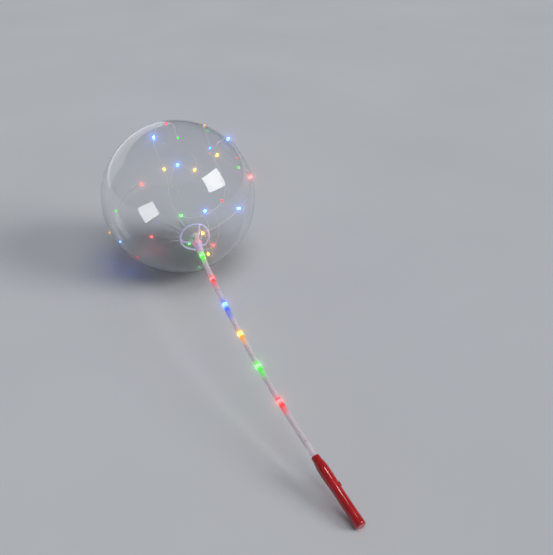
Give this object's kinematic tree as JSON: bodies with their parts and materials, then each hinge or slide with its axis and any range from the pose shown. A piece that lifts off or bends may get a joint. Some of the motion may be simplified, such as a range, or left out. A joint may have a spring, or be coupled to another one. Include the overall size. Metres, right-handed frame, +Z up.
{
  "type": "led balloon",
  "caption": "Clear round party balloon on a bent stick, wound with a wire of coloured lights and held by a red battery handle; it lies on the balloon and the handle's end.",
  "frame": {"origin": "on the floor, under the middle of the box round the lying object", "axes": "+X along the object from the balloon to the handle, +Z up, +Y across"},
  "size_m": [1.2938, 0.4292, 0.4317],
  "materials": {
    "clear_film": "clear glossy film",
    "milky_plastic": "milky translucent, satin",
    "frosted_plastic": "frosted translucent",
    "silver_wire": "bright bare wire",
    "red_plastic": "glossy",
    "red_rubber": "satin",
    "screw_steel": "satin",
    "light_red": "lit resin",
    "light_green": "lit resin",
    "light_yellow": "lit resin",
    "light_blue": "lit resin"
  },
  "bodies": {
    "root": {"balloon": "clear_film", "balloon_cup": "milky_plastic", "stick_tube": "frosted_plastic", "light_string_wire": "silver_wire", "handle_body": "red_plastic", "battery_cover": "red_plastic", "cover_screw": "screw_steel", "power_button": "red_rubber", "light_01_red": "light_red", "light_02_green": "light_green", "light_03_yellow": "light_yellow", "light_04_blue": "light_blue", "light_05_red": "light_red", "light_06_green": "light_green", "light_07_yellow": "light_yellow", "light_08_blue": "light_blue", "light_09_red": "light_red", "light_10_green": "light_green", "light_11_yellow": "light_yellow", "light_12_blue": "light_blue", "light_13_red": "light_red", "light_14_green": "light_green", "light_15_yellow": "light_yellow", "light_16_blue": "light_blue", "light_17_red": "light_red", "light_18_green": "light_green", "light_19_yellow": "light_yellow", "light_20_blue": "light_blue", "light_21_red": "light_red", "light_22_green": "light_green", "light_23_yellow": "light_yellow", "light_24_blue": "light_blue", "light_25_red": "light_red", "light_26_green": "light_green", "light_27_yellow": "light_yellow", "light_28_blue": "light_blue", "light_29_red": "light_red", "light_30_green": "light_green", "light_31_yellow": "light_yellow", "light_32_blue": "light_blue", "light_33_red": "light_red", "light_34_green": "light_green"}
  },
  "joints": []
}
